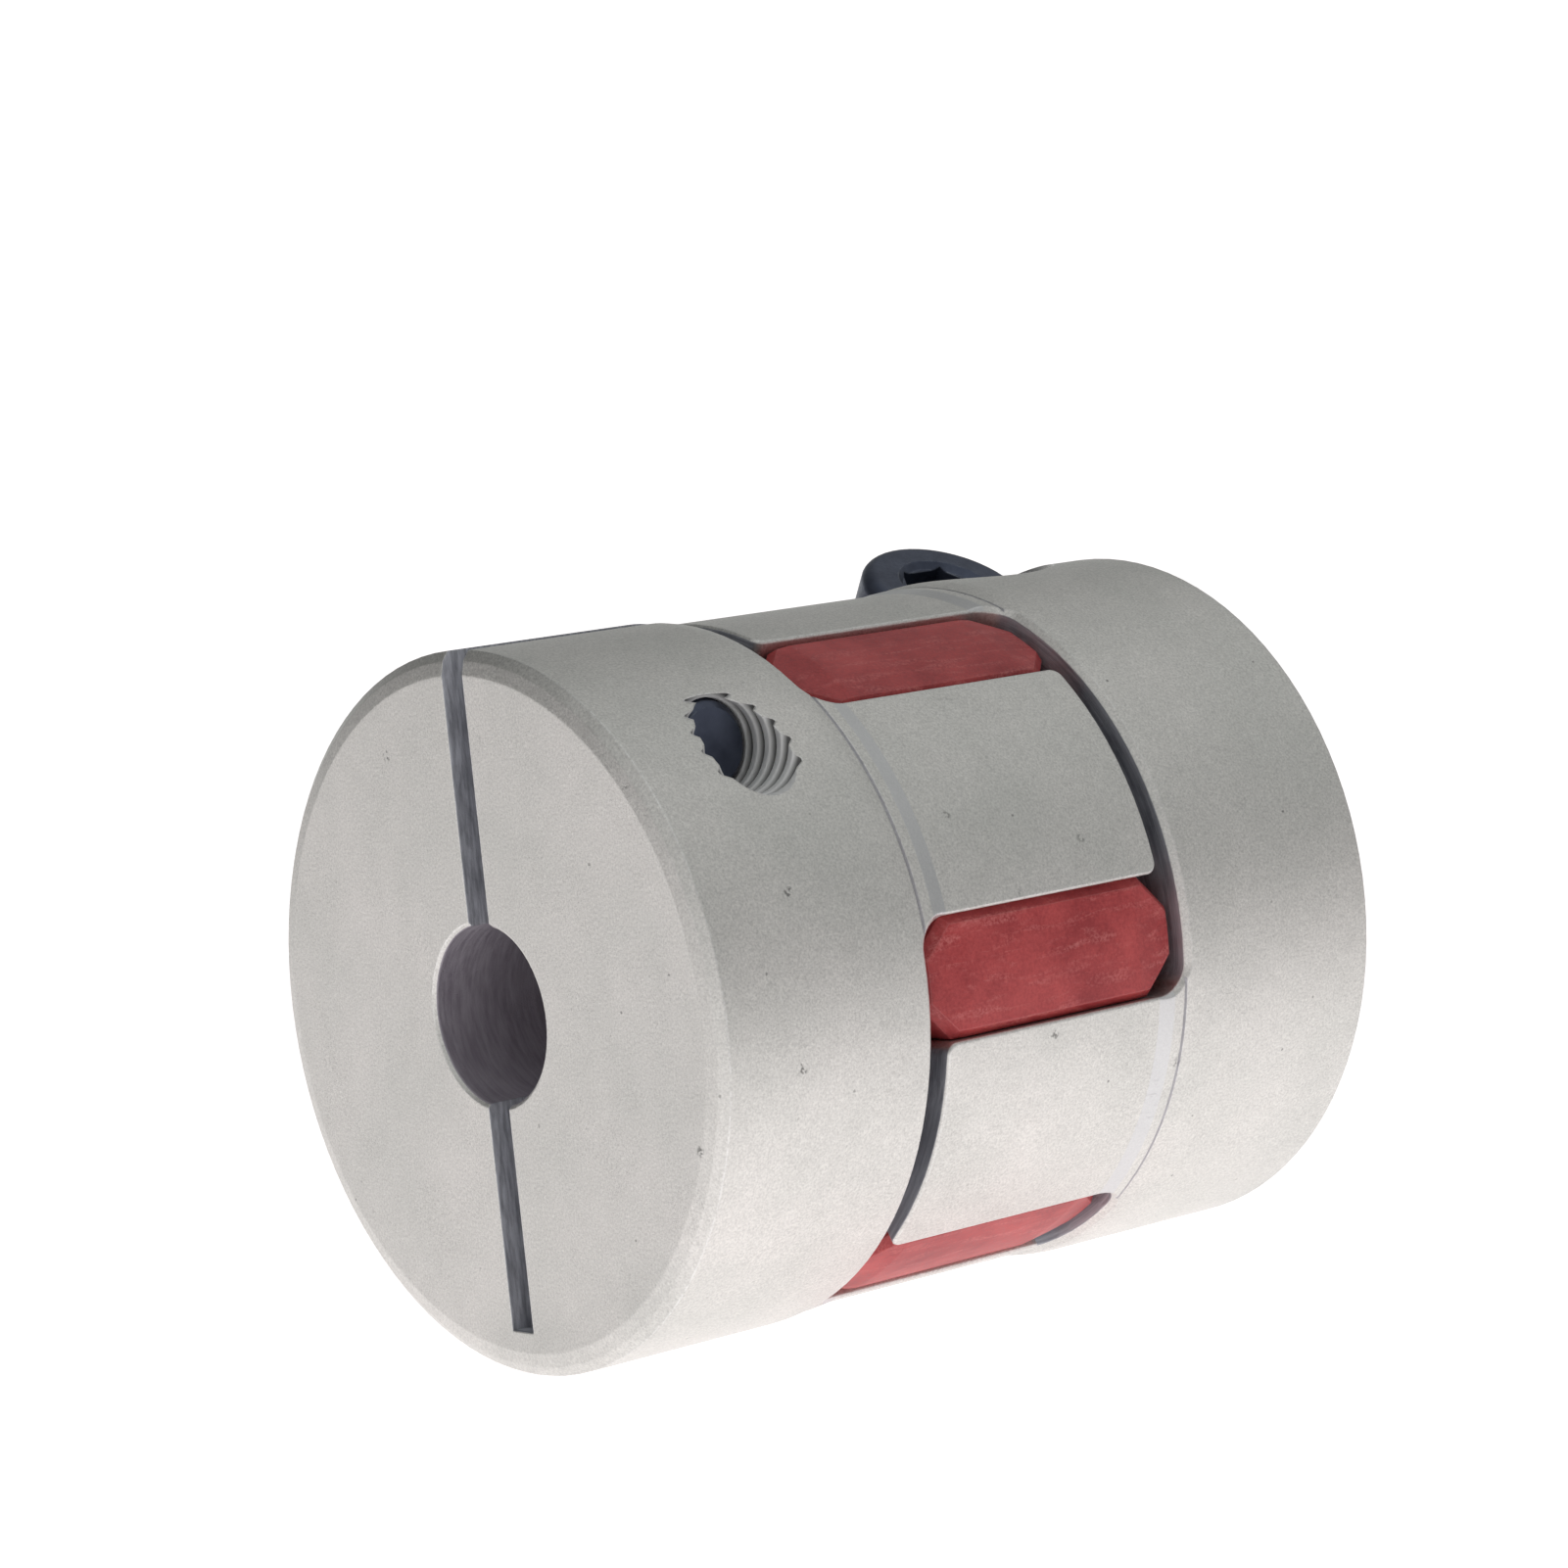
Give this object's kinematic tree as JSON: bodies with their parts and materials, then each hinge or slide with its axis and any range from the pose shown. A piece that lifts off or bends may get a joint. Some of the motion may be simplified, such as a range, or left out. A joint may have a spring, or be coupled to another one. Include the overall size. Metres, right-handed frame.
{
  "type": "jaw coupling",
  "caption": "Clamp-type jaw coupling: split aluminium hubs with interlocking jaws, a red elastomer spider between them and a clamp screw in each hub; joins shafts end to end.",
  "frame": {"origin": "centre of the drive hub's bore mouth, on its outer face", "axes": "+X along the shaft axis from the drive hub to the driven hub, +Z towards the drive hub's clamp slit, drive screw's head on the +Y side"},
  "size_m": [0.0243, 0.02, 0.0208],
  "materials": {
    "blasted_aluminium": "bead-blasted, matte",
    "red_elastomer": "moulded polyurethane, satin",
    "black_oxide_steel": "black oxide, satin"
  },
  "bodies": {
    "drive_hub": {"drive_hub": "blasted_aluminium"},
    "spider": {"spider": "red_elastomer"},
    "driven_hub": {"driven_hub": "blasted_aluminium"},
    "drive_clamp_screw": {"drive_clamp_screw": "black_oxide_steel"},
    "driven_clamp_screw": {"driven_clamp_screw": "black_oxide_steel"}
  },
  "joints": [
    {"name": "spider_pull", "type": "slide", "parent": "drive_hub", "child": "spider", "axis": [1, 0, 0], "range_m": [0, 0.0105]},
    {"name": "driven_hub_pull", "type": "slide", "parent": "spider", "child": "driven_hub", "axis": [1, 0, 0], "range_m": [0, 0.0105]},
    {"name": "drive_screw_turn", "type": "hinge", "parent": "drive_hub", "child": "drive_clamp_screw", "pos_m": [0.0041, 0, 0.00685], "axis": [0, 1, 0], "range_deg": [0, 3824]},
    {"name": "driven_screw_turn", "type": "hinge", "parent": "driven_hub", "child": "driven_clamp_screw", "pos_m": [0.02015, 0.00593, 0.00343], "axis": [0, -0.5, 0.866], "range_deg": [0, 3824]}
  ]
}
